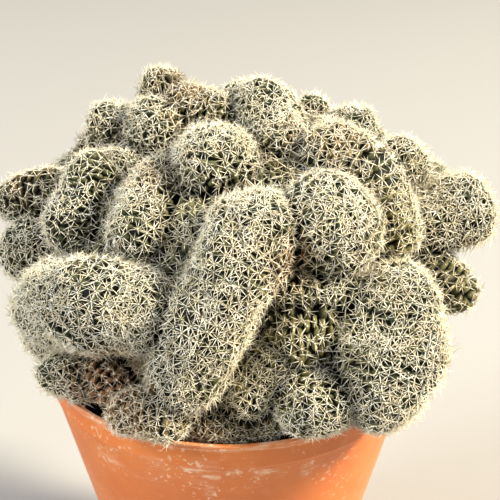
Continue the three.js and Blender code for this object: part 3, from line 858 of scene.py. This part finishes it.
class Value:
    """A shader value that sums, differences and products can be written with, on either side of
    a number."""

    def __init__(self, paint, socket):
        self.paint = paint
        self.socket = socket

    def math(self, operation, first, second):
        """A Math node of two values."""
        return self.paint.add("ShaderNodeMath", {"operation": operation}, {0: first, 1: second})

    def __add__(self, other):
        return self.math("ADD", self, other)

    def __sub__(self, other):
        return self.math("SUBTRACT", self, other)

    def __rsub__(self, other):
        return self.math("SUBTRACT", other, self)

    def __mul__(self, other):
        return self.math("MULTIPLY", self, other)

    __radd__ = __add__
    __rmul__ = __mul__

    def between(self, low, high):
        """A smooth step from 0 at low to 1 at high."""
        settings = {"interpolation_type": "SMOOTHSTEP"}
        return self.paint.add("ShaderNodeMapRange", settings, {0: self, 1: low, 2: high})


class Paint:
    """One procedural material and the nodes that feed its shader."""

    def __init__(self, name, **constants):
        self.material = bpy.data.materials.new(name)
        self.material.use_nodes = True
        self.nodes = self.material.node_tree.nodes
        self.links = self.material.node_tree.links
        self.shader = self.nodes["Principled BSDF"]
        for socket, value in constants.items():
            self.shader.inputs[socket.replace("_", " ")].default_value = value
        self.place = self.add("ShaderNodeTexCoord", output="Object")

    def plug(self, socket, value):
        """A link from another node, or a constant, which is a colour of three numbers where the
        socket takes a colour."""
        if isinstance(value, Value):
            self.links.new(value.socket, socket)
        elif socket.type == "RGBA":
            socket.default_value = (*value, 1)
        else:
            socket.default_value = value

    def add(self, kind, settings=None, inputs=None, output=0):
        """A node of one kind, with its settings made first and its sockets filled or linked."""
        node = self.nodes.new(kind)
        for name, value in (settings or {}).items():
            setattr(node, name, value)
        for name, value in (inputs or {}).items():
            self.plug(node.inputs[name], value)
        return Value(self, node.outputs[output])

    def field(self, name):
        """A float attribute of the mesh."""
        return self.add("ShaderNodeAttribute", {"attribute_name": name}, output="Fac")

    def stretched(self, scale):
        """Object coordinates times a scale for each axis."""
        return self.add("ShaderNodeVectorMath", {"operation": "MULTIPLY"}, {0: self.place, 1: scale})

    def noise(self, scale, detail, roughness=0.5, place=None):
        """Noise with this many cells a metre, at the object's coordinates or a stretch of them."""
        place = place or self.place
        inputs = {"Vector": place, "Scale": scale, "Detail": detail, "Roughness": roughness}
        return self.add("ShaderNodeTexNoise", None, inputs)

    def oval(self, centre, width, tall, ragged):
        """A mark on an upright wall: 1 in its middle, 0 at its half width and half height."""
        scale = np.array([1 / width, 1 / width, 1 / tall])
        inputs = {0: self.stretched(scale), 1: centre * scale}
        far = self.add("ShaderNodeVectorMath", {"operation": "DISTANCE"}, inputs, output="Value")
        return 1 - (far + ragged).between(0.45, 1.0)

    def mix(self, share, first, second):
        """A colour between two, by a share."""
        inputs = {0: share, 6: first, 7: second}
        return self.add("ShaderNodeMix", {"data_type": "RGBA"}, inputs, output=2)

    def bump(self, height, distance, strength):
        """A normal from a height, a distance in metres and how strongly it shows."""
        inputs = {"Height": height, "Distance": distance, "Strength": strength}
        return self.add("ShaderNodeBump", None, inputs)

    def feed(self, **inputs):
        """Links to the shader's own sockets."""
        for socket, value in inputs.items():
            self.plug(self.shader.inputs[socket.replace("_", " ")], value)
        return self.material


def flesh_paint(settings):
    """Grey-green to olive skin, with painted shade in the grooves and where folds meet, yellower or corky
    brown in patches.
    """
    paint = Paint("cactus_skin", Roughness=0.6, Specular_IOR_Level=0.15)
    rise, tone, cork = paint.field("rise"), paint.field("tone"), paint.field("cork")
    mottle = paint.noise(420, 4)
    olive = (paint.field("olive") * 0.8 + tone * 0.25 + mottle * 0.35).between(0.2, 1.2)
    top = paint.mix(olive, settings.green, settings.olive)
    top = paint.mix(paint.field("yellow"), top, settings.yellow)
    top = paint.mix((cork + tone * 0.2 - 0.1).between(0.0, 1.0), top, settings.cork)
    # Painted shade: the grooves between tubercles, and the skin where folds meet, take the groove colour
    lit = rise.between(0.1, 0.9) * (1 - paint.field("crease_shade") * 0.8)
    colour = paint.mix(lit, settings.groove_shade, top)
    grain = paint.bump(paint.noise(1500, 3), 0.00012, 0.7)
    return paint.feed(Base_Color=colour, Normal=grain)


def spine_paint(settings):
    """Cream spines, a little tan at the root, some of them greyer, darkened by painted shade where folds
    meet.
    """
    paint = Paint("cactus_spines", Roughness=0.42, Specular_IOR_Level=0.45)
    reach, tone, cork = paint.field("reach"), paint.field("tone"), paint.field("cork")
    body = paint.mix(tone.between(0.15, 0.9), settings.cream, settings.ivory)
    colour = paint.mix((1 - reach.between(0.0, 0.2)) * 0.1, body, settings.root_tan)
    colour = paint.mix(cork * 0.6, colour, settings.root_tan)
    # Painted shade: spines darken where folds meet
    colour = paint.mix(paint.field("crease_shade") * 0.75, colour, settings.shaded)
    return paint.feed(Base_Color=colour)


def felt_paint(settings):
    """Short woolly felt: off-white with warm specks, rough all over, darkened by painted shade where folds
    meet.
    """
    paint = Paint("areole_felt", Roughness=0.95, Specular_IOR_Level=0.1)
    tone = paint.field("tone")
    fleck = paint.noise(1800, 2)
    warm = (tone * 0.6 + fleck * 0.5).between(0.65, 1.0) * 0.5
    colour = paint.mix(warm, settings.felt_white, settings.root_tan)
    # Painted shade: felt darkens where folds meet
    colour = paint.mix(paint.field("crease_shade") * 0.75, colour, settings.shaded)
    return paint.feed(Base_Color=colour, Normal=paint.bump(fleck, 0.0002, 0.8))


def pot_paint(settings):
    """Moulded terracotta-orange plastic: slow mottling, pale scuffs near the band's lower edge,
    fine level scratches, flecks and a painted lip highlight, each of them rougher than the clean wall."""
    paint = Paint("pot_plastic", Specular_IOR_Level=0.5, Subsurface_Weight=0.12,
                  Subsurface_Scale=0.004, Subsurface_Radius=(1.0, 0.35, 0.12))
    broad = paint.noise(26, 4, 0.6)
    fine = paint.noise(260, 4, 0.6)
    colour = paint.mix(broad.between(0.3, 0.7), settings.orange, settings.deep_orange)
    colour = paint.mix(fine.between(0.55, 0.8) * 0.25, colour, settings.pale_orange)
    height = paint.add("ShaderNodeSeparateXYZ", None, {0: paint.place}, output=2)
    edge, lip_foot = POT_HEIGHT - BAND_HEIGHT, POT_HEIGHT - LIP_HEIGHT
    on_wall = 1 - height.between(lip_foot - 1 * MM, lip_foot)
    near_edge = height.between(edge - 16 * MM, edge - 1 * MM)
    near_edge = near_edge * (1 - height.between(edge + 1 * MM, edge + 7 * MM))
    ragged = (fine - 0.5) * 1.6
    marks = 0
    for centre, width, tall, strength in SCUFFS:
        marks = marks + paint.oval(np.array(centre) * MM, width * MM, tall * MM, ragged) * strength
    patches = paint.noise(46, 5, 0.65).between(0.5, 0.64)
    # Streaks and scratches run level, so their noise is finest in height
    streaks = paint.noise(1, 5, 0.7, paint.stretched((160, 160, 1400))).between(0.42, 0.66)
    scuff = (marks * 0.9 + patches * (near_edge * 0.3 + 0.06)) * (streaks * 0.7 + 0.3)
    scratch = paint.noise(1, 2, 0.5, paint.stretched((60, 60, 3200))).between(0.67, 0.72)
    scratch = scratch * (patches * 0.8 + 0.1)
    fleck = paint.noise(620, 2, 0.5).between(0.58, 0.66) * paint.noise(60, 3).between(0.45, 0.55)
    # Painted highlight: a paler band along the lip
    lip_highlight = (1 - on_wall) * (streaks * 0.5 + 0.15)
    wear_and_lip_highlight = (scuff * on_wall + scratch * 0.45 + fleck * 0.5 + lip_highlight).between(0.0, 1.0)
    colour = paint.mix(wear_and_lip_highlight, colour, settings.scuff)
    rough = wear_and_lip_highlight * 0.3 + broad * 0.12 + 0.33
    grain = paint.bump(paint.noise(900, 3) * 0.5 + wear_and_lip_highlight * 0.5, 0.00012, 0.5)
    return paint.feed(Base_Color=colour, Roughness=rough, Normal=grain)


def soil_paint(settings):
    """Dark, damp potting mix: near black with brown crumbs and a few paler specks."""
    paint = Paint("potting_mix", Roughness=0.92, Specular_IOR_Level=0.25)
    crumbs = paint.noise(520, 5, 0.65)
    specks = paint.noise(1300, 2).between(0.7, 0.8)
    colour = paint.mix(crumbs.between(0.35, 0.75), settings.dark, settings.brown)
    colour = paint.mix(specks * 0.6, colour, settings.speck)
    return paint.feed(Base_Color=colour, Normal=paint.bump(crumbs, 0.0006, 0.9))


def floor_paint(settings):
    """A pale matt floor with a slow, faint tint."""
    paint = Paint("studio_floor", Roughness=0.85, Specular_IOR_Level=0.2)
    tint = paint.noise(3, 2)
    colour = paint.mix(tint * 0.15, settings.floor, settings.floor_tint)
    return paint.feed(Base_Color=colour)


# Settings


def size_property(name, description, default):
    """A length in metres."""
    return FloatProperty(
        name=name, description=description, default=default, min=0, unit="LENGTH", precision=4
    )


def colour_property(name, description, default):
    """A linear colour."""
    return FloatVectorProperty(
        name=name, description=description, default=default, size=3, subtype="COLOR", min=0, max=1
    )


class PotSettings(bpy.types.PropertyGroup):
    """Colours of the plastic, and how round its edges are"""

    orange: colour_property("Orange", "Main colour of the plastic", (0.79, 0.222, 0.042))
    deep_orange: colour_property("Deep orange", "Darker mottling", (0.68, 0.165, 0.031))
    pale_orange: colour_property("Pale orange", "Fine lighter mottling", (0.86, 0.42, 0.2))
    # Pale colour of the scuffs, scratches and flecks, and of the painted highlight on the lip
    scuff: colour_property("Scuffs", "Pale worn marks", (0.92, 0.60, 0.40))
    edge_radius: size_property("Edge radius", "Rounding of the rim's and foot's edges", 0.35 * MM)


class SoilSettings(bpy.types.PropertyGroup):
    """Colours, relief and loose crumbs of the soil"""

    dark: colour_property("Dark", "Damp soil", (0.008, 0.006, 0.005))
    brown: colour_property("Brown", "Crumbs", (0.035, 0.023, 0.014))
    speck: colour_property("Specks", "Paler grains", (0.2, 0.15, 0.1))
    relief: size_property("Relief", "Height of the soil's crumbs", 0.9 * MM)
    granule_count: IntProperty(name="Granules", description="Loose crumbs on the soil", default=600, min=0)


class FleshSettings(bpy.types.PropertyGroup):
    """Colours of the skin"""

    green: colour_property("Green", "Grey-green skin", (0.045, 0.058, 0.029))
    olive: colour_property("Olive", "Lighter olive skin", (0.185, 0.172, 0.082))
    yellow: colour_property("Yellow", "Yellow-green patches", (0.260, 0.230, 0.060))
    # Painted shade: the colour of the grooves between tubercles and of skin where folds meet
    groove_shade: colour_property("Groove", "Skin between tubercles", (0.008, 0.010, 0.005))
    cork: colour_property("Cork", "Old corky skin", (0.340, 0.172, 0.080))


class SpineSettings(bpy.types.PropertyGroup):
    """Colours, number, rise and size of the spines and their felt"""

    cream: colour_property("Cream", "Yellower spines", (0.90, 0.80, 0.57))
    ivory: colour_property("Ivory", "Whiter spines", (0.95, 0.92, 0.80))
    root_tan: colour_property("Root", "Roots of the spines, and old ones", (0.62, 0.45, 0.26))
    # Painted shade: the colour that spines and felt take where folds meet
    shaded: colour_property("Shaded", "Dusty spines where folds meet", (0.14, 0.13, 0.10))
    felt_white: colour_property("Felt", "Wool of the areoles", (0.96, 0.92, 0.81))
    wheel_count: IntProperty(name="Low spines", description="In each areole's wheel", default=9, min=3)
    middle_count: IntProperty(
        name="Standing spines", description="In each areole's middle", default=1, min=0
    )
    wheel_rise_low: FloatProperty(name="Least rise", description="Degrees above the skin", default=6)
    wheel_rise_high: FloatProperty(name="Most rise", description="Degrees above the skin", default=30)
    length: size_property("Length", "Usual spine", 4.9 * MM)
    thickness: size_property("Half thickness", "Where it is widest", 0.135 * MM)
    felt_size: size_property("Felt size", "Half width of a tuft", 0.42 * MM)
    tilt: FloatProperty(name="Tilt", description="Usual lean of an areole's wheel", default=0.14, min=0)


class StageSettings(bpy.types.PropertyGroup):
    """The floor's colours, the lights' power and the lens"""

    floor: colour_property("Floor", "Pale studio floor", (0.39, 0.38, 0.365))
    floor_tint: colour_property("Floor tint", "Slow mottling of the floor", (0.35, 0.34, 0.325))
    key_power: FloatProperty(name="Key light", description="Watts", default=122, unit="POWER")
    fill_power: FloatProperty(name="Fill light", description="Watts", default=68, unit="POWER")
    lens: FloatProperty(name="Lens", description="Focal length in mm", default=100.8)


# Operators


def dress(piece, materials, body, slot, *nodes):
    """A piece's materials, the body it rides on and the nodes it stands for. The slot, its finish, is not
    used.
    """
    for material in materials:
        piece.data.materials.append(material)
    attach(piece, body)
    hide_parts(*nodes)


class LOBIVIA_OT_pot(bpy.types.Operator):
    """Turn the pot's wall, band, lip and foot, and cut its drain holes"""

    bl_idname = "lobivia.pot"
    bl_label = "Pot"

    def execute(self, context):
        settings = context.scene.lobivia_pot
        band_foot, lip_foot = POT_HEIGHT - BAND_HEIGHT, POT_HEIGHT - LIP_HEIGHT
        band_radius = wall_radius(band_foot) + BAND_STEP
        lip_inner = RIM_RADIUS - LIP_STEP
        profile = np.array([
            [0, 0], [PAD_RADIUS, 0], [PAD_RADIUS + MM, FOOT_LIFT],
            [BASE_RADIUS - FOOT_WIDTH - MM, FOOT_LIFT], [BASE_RADIUS - FOOT_WIDTH, 0],
            [BASE_RADIUS, 0], [wall_radius(band_foot), band_foot],
            [band_radius, band_foot + STEP_SLOPE], [lip_inner, lip_foot],
            [RIM_RADIUS, lip_foot + STEP_SLOPE], [RIM_RADIUS, POT_HEIGHT],
            [lip_inner - WALL, POT_HEIGHT], [band_radius - WALL, band_foot + MM],
            [wall_radius(band_foot) - WALL, band_foot - 0.5 * MM],
            [wall_radius(FLOOR_THICKNESS) - WALL, FLOOR_THICKNESS], [0, FLOOR_THICKNESS],
        ])
        shell = put_in_mesh("pot_shell", *turned(rounded(profile, settings.edge_radius), POT_SIDES))
        cutters = []
        angle = turns(DRAIN_SIDES)
        low, high = -FLOOR_THICKNESS, 3 * FLOOR_THICKNESS
        for turn in turns(DRAIN_COUNT):
            middle = DRAIN_CIRCLE * np.array([math.cos(turn), math.sin(turn)])
            ring = middle + DRAIN_RADIUS * np.stack([np.cos(angle), np.sin(angle)], -1)
            levels = [np.full(DRAIN_SIDES, level) for level in (low, high)]
            rings = np.stack([np.column_stack([ring, level]) for level in levels])
            cutters.append(closed_grid(rings, (*middle, low), (*middle, high)))
        cutter = put_in_mesh("drain_cutter", *gathered(cutters))
        cut = shell.modifiers.new("drain_holes", "BOOLEAN")
        cut.operation = "DIFFERENCE"
        cut.solver = "EXACT"
        cut.object = cutter
        context.view_layer.update()
        whole = shell.evaluated_get(context.evaluated_depsgraph_get())
        finished = bpy.data.meshes.new_from_object(whole)
        shell.modifiers.clear()
        shell.data = finished
        bpy.data.objects.remove(cutter)
        finished.shade_smooth()
        finished.set_sharp_from_angle(angle=SHARP_ANGLE)
        dress(shell, [pot_paint(settings)], "root", "pot", "pot")
        return {"FINISHED"}


class LOBIVIA_OT_soil(bpy.types.Operator):
    """Fill the pot with crumbly soil and strew granules on it"""

    bl_idname = "lobivia.soil"
    bl_label = "Soil"

    def execute(self, context):
        settings = context.scene.lobivia_soil
        random = np.random.default_rng(SOIL_SEED)
        top, foot = SOIL_HIGH.z - settings.relief, SOIL_LOW.z
        edge = wall_radius(POT_HEIGHT - BAND_HEIGHT) - WALL - SOIL_GAP
        inner = np.linspace(edge - 0.4 * MM, 1 * MM, SOIL_RINGS)
        profile = np.array([
            [0, foot], [wall_radius(foot) - WALL - SOIL_GAP, foot], [edge, top - SOIL_EDGE_FALL],
            *np.column_stack([inner, np.full(len(inner), top)]), [0, top],
        ])
        vertices, triangles = turned(profile, SOIL_SIDES)
        on_top = vertices[:, 2] > top - 0.1 * MM
        relief = lattice_noise(vertices, 5 * MM, 1) + 0.7 * lattice_noise(vertices, 2 * MM, 2)
        vertices[on_top, 2] += settings.relief * 0.55 * relief[on_top]
        count = settings.granule_count
        angle = random.uniform(0, 2 * math.pi, count)
        reach = np.sqrt(random.uniform(0.2, 1, count)) * (edge - GRAIN_INSET)
        places = np.stack([reach * np.cos(angle), reach * np.sin(angle), np.full(count, top)], -1)
        sizes = random.uniform(0.4, 1.3, (count, 1)) * random.uniform(0.7, 1.2, (count, 3)) * MM
        axes = np.linalg.qr(random.normal(0, 1, (count, 3, 3)))[0]
        axes = axes * np.sign(np.linalg.det(axes))[:, None, None]
        grain = stamped(hump_shape(GRAIN_SIDES), places, axes, sizes)
        piece = put_in_mesh("soil_fill", *gathered([(vertices, triangles), grain]))
        dress(piece, [soil_paint(settings)], "root", "soil", "soil")
        return {"FINISHED"}


def cover(label, skins, areoles, own, paints, settings, random):
    """The flesh and the coat of spines of one set of areoles, each with its paints."""
    flesh = grow_flesh(f"crest_{label}_flesh", skins, areoles, random)
    dress(flesh, paints[:1], "root", "cactus_crest", "cactus_crest")
    spines = grow_spines(f"crest_{label}_spines", areoles, own, settings, random)
    dress(spines, paints[1:], "root", "cactus_crest", "cactus_crest")


class LOBIVIA_OT_crest(bpy.types.Operator):
    """Grow the crest: its core, and its folds in groups, each with flesh and a coat of spines"""

    bl_idname = "lobivia.crest"
    bl_label = "Crest"

    def execute(self, context):
        settings = context.scene.lobivia_spines
        paints = [flesh_paint(context.scene.lobivia_flesh), spine_paint(settings), felt_paint(settings)]
        neck = turned(np.array([
            [0, NECK_FOOT], [NECK_FOOT_RADIUS, NECK_FOOT], [NECK_SOIL_RADIUS, SOIL_HIGH.z],
            [NECK_TOP_RADIUS, NECK_TOP], [0, NECK_TOP],
        ]), NECK_SIDES)
        random = np.random.default_rng(CORE_SEED)
        skins = [core_skin(CORE_CELL), neck]
        cover("heart", skins, core_areoles(random), "core", paints, settings, random)
        for index, group in enumerate(GROUPS):
            random = np.random.default_rng(FOLD_SEED + index)
            names = [name for name, facts in FOLDS.items() if facts["group"] == group]
            skins = [fold_skin(SURFACES[name], FOLD_CELL) for name in names]
            areoles = joined([fold_areoles(name, random) for name in names])
            cover(group, skins, areoles, None, paints, settings, random)
        return {"FINISHED"}


class LOBIVIA_OT_stage(bpy.types.Operator):
    """Lay a pale floor, set soft lights and place the camera"""

    bl_idname = "lobivia.stage"
    bl_label = "Stage"

    def execute(self, context):
        settings = context.scene.lobivia_stage
        corners = FLOOR_REACH * np.array([[-1, -1, 0], [1, -1, 0], [1, 1, 0], [-1, 1, 0]])
        floor = put_in_mesh("floor", corners, np.array([[0, 1, 2], [0, 2, 3]]))
        floor.data.materials.append(floor_paint(settings))
        back_power = BACK_SHARE * settings.fill_power
        add_light("key_light", KEY_PLACE, settings.key_power, KEY_SIZE, KEY_COLOUR)
        add_light("fill_light", FILL_PLACE, settings.fill_power, FILL_SIZE, FILL_COLOUR)
        add_light("back_light", BACK_PLACE, back_power, BACK_SIZE, BACK_COLOUR)
        world = bpy.data.worlds.new("studio")
        context.scene.world = world
        world.use_nodes = True
        background = world.node_tree.nodes["Background"]
        background.inputs["Color"].default_value = WORLD_COLOUR
        background.inputs["Strength"].default_value = WORLD_STRENGTH
        camera = bpy.data.objects.new("camera", bpy.data.cameras.new("camera"))
        context.scene.collection.objects.link(camera)
        camera.location = CAMERA_PLACE
        camera.rotation_euler = (CAMERA_TILT, 0, 0)
        camera.data.lens = settings.lens
        camera.data.sensor_width = SENSOR_WIDTH
        context.scene.camera = camera
        context.scene.view_settings.view_transform = "Standard"
        return {"FINISHED"}


def add_light(name, place, power, size, colour):
    """A soft square light that faces the plant's core."""
    light = bpy.data.lights.new(name, "AREA")
    light.energy = power
    light.size = size
    light.color = colour
    lamp = bpy.data.objects.new(name, light)
    lamp.location = place
    away = unit(np.array(place) - CORE_CENTRE)
    lamp.rotation_euler = (math.acos(away[2]), 0, math.atan2(away[0], -away[1]))
    bpy.context.scene.collection.objects.link(lamp)


class LOBIVIA_PT_panel(bpy.types.Panel):
    """The plant's pieces and settings"""

    bl_label = "Potted Lobivia"
    bl_space_type = "VIEW_3D"
    bl_region_type = "UI"
    bl_category = "Lobivia"

    def draw(self, context):
        for operator, groups in STEPS:
            box = self.layout.box()
            box.operator(operator)
            for group in groups:
                settings = getattr(context.scene, group)
                for name in settings.__annotations__:
                    box.prop(settings, name)


STEPS = (
    ("lobivia.pot", ("lobivia_pot",)),
    ("lobivia.soil", ("lobivia_soil",)),
    ("lobivia.crest", ("lobivia_flesh", "lobivia_spines")),
    ("lobivia.stage", ("lobivia_stage",)),
)
SETTINGS = {
    "lobivia_pot": PotSettings,
    "lobivia_soil": SoilSettings,
    "lobivia_flesh": FleshSettings,
    "lobivia_spines": SpineSettings,
    "lobivia_stage": StageSettings,
}
CLASSES = (
    *SETTINGS.values(),
    LOBIVIA_OT_pot,
    LOBIVIA_OT_soil,
    LOBIVIA_OT_crest,
    LOBIVIA_OT_stage,
    LOBIVIA_PT_panel,
)


def register():
    """Registers the classes and hangs each group of settings on the scene."""
    for one in CLASSES:
        bpy.utils.register_class(one)
    for name, group in SETTINGS.items():
        setattr(bpy.types.Scene, name, PointerProperty(type=group))


def unregister():
    """Takes the settings and the classes away again."""
    for name in SETTINGS:
        delattr(bpy.types.Scene, name)
    for one in reversed(CLASSES):
        bpy.utils.unregister_class(one)


def main():
    """Builds the pieces and the stage."""
    register()
    bpy.ops.lobivia.pot()
    bpy.ops.lobivia.soil()
    bpy.ops.lobivia.crest()
    bpy.ops.lobivia.stage()


if __name__ == "__main__":
    main()
